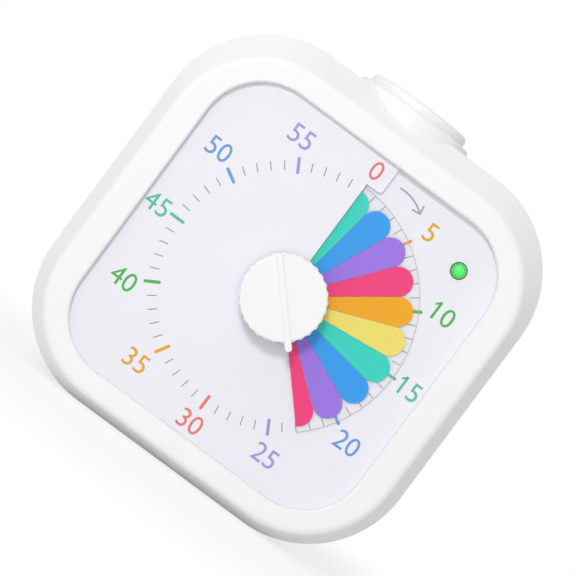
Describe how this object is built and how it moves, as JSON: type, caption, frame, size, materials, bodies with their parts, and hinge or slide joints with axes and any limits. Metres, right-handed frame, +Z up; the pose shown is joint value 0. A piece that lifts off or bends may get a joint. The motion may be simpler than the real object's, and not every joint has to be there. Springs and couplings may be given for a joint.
{
  "type": "visual countdown timer",
  "caption": "Square desk timer with round corners, central knob, spiral dial, a turning disc of coloured petals, a lamp and a round top button.",
  "frame": {"origin": "centre of the flat underside that the timer stands on, at the middle of the casing's depth", "axes": "+Z up, +X to the right as seen from the front, -Y out of the dial towards the viewer"},
  "size_m": [0.13, 0.0578, 0.1337],
  "materials": {
    "casing_white": "satin moulded",
    "button_white": "satin moulded",
    "knob_white": "satin moulded",
    "dial_white": "matt printed sheet",
    "inner_white": "matt moulded",
    "inner_black": "matt moulded",
    "colour_film": "clear film printed with translucent petals",
    "gear_resin": "unfilled resin",
    "steel": "zinc plated",
    "spring_steel": "bright drawn",
    "contact_nickel": "nickel plated",
    "brass": "turned",
    "lamp_green": "clear tinted resin",
    "board_green": "solder mask",
    "slider_black": "moulded with ridges",
    "speaker_black": "pressed",
    "cell_jacket": "printed sleeve"
  },
  "bodies": {
    "casing": {"front_frame": "casing_white", "rear_shell": "casing_white", "dial_plate": "dial_white", "chassis_plate": "inner_white", "case_screws": "steel", "spindle_bush": "brass", "movement_case": "inner_black", "movement_screws": "steel", "drive_motor": "steel", "led_lamp": "lamp_green", "main_board": "board_green", "board_screws": "steel", "volume_switch": "inner_black", "speaker": "speaker_black", "button_board": "board_green", "button_switch": "inner_black", "button_spring": "spring_steel", "battery_cells": "cell_jacket", "battery_plates": "contact_nickel", "battery_springs": "spring_steel"},
    "dial_knob": {"knob": "knob_white", "spindle": "steel", "drive_wheel": "gear_resin"},
    "disc": {"colour_disc": "colour_film", "disc_hub": "inner_white"},
    "pinion": {"motor_pinion": "gear_resin"},
    "button": {"button_cap": "button_white"},
    "door": {"battery_door": "casing_white"},
    "volume": {"volume_slider": "slider_black"}
  },
  "joints": [
    {"name": "knob_turn", "type": "hinge", "parent": "casing", "child": "dial_knob", "pos_m": [0, 0, 0.0622], "axis": [0, 1, 0], "range_deg": [-138, 222]},
    {"name": "disc_climb", "type": "slide", "parent": "dial_knob", "child": "disc", "axis": [0, -1, 0], "range_m": [-0.00065, 0.00105]},
    {"name": "pinion_turn", "type": "hinge", "parent": "casing", "child": "pinion", "pos_m": [0, 0, 0.0447], "axis": [0, 1, 0], "range_deg": [-888, 552]},
    {"name": "button_press", "type": "slide", "parent": "casing", "child": "button", "axis": [0, 0, -1], "range_m": [0, 0.0012], "stiffness_N_per_m": 800, "springref_m": -0.001, "deforming": ["button_spring"]},
    {"name": "door_tip", "type": "hinge", "parent": "casing", "child": "door", "pos_m": [0, 0.024, 0.01005], "axis": [-1, 0, 0], "range_deg": [0, 80]},
    {"name": "volume_slide", "type": "slide", "parent": "casing", "child": "volume", "axis": [1, 0, 0], "range_m": [-0.002, 0.002]}
  ],
  "couplings": [
    {"joint": "disc_climb", "follows": "knob_turn", "m_per_rad": 0.00027056},
    {"joint": "pinion_turn", "follows": "knob_turn", "ratio": -4}
  ]
}
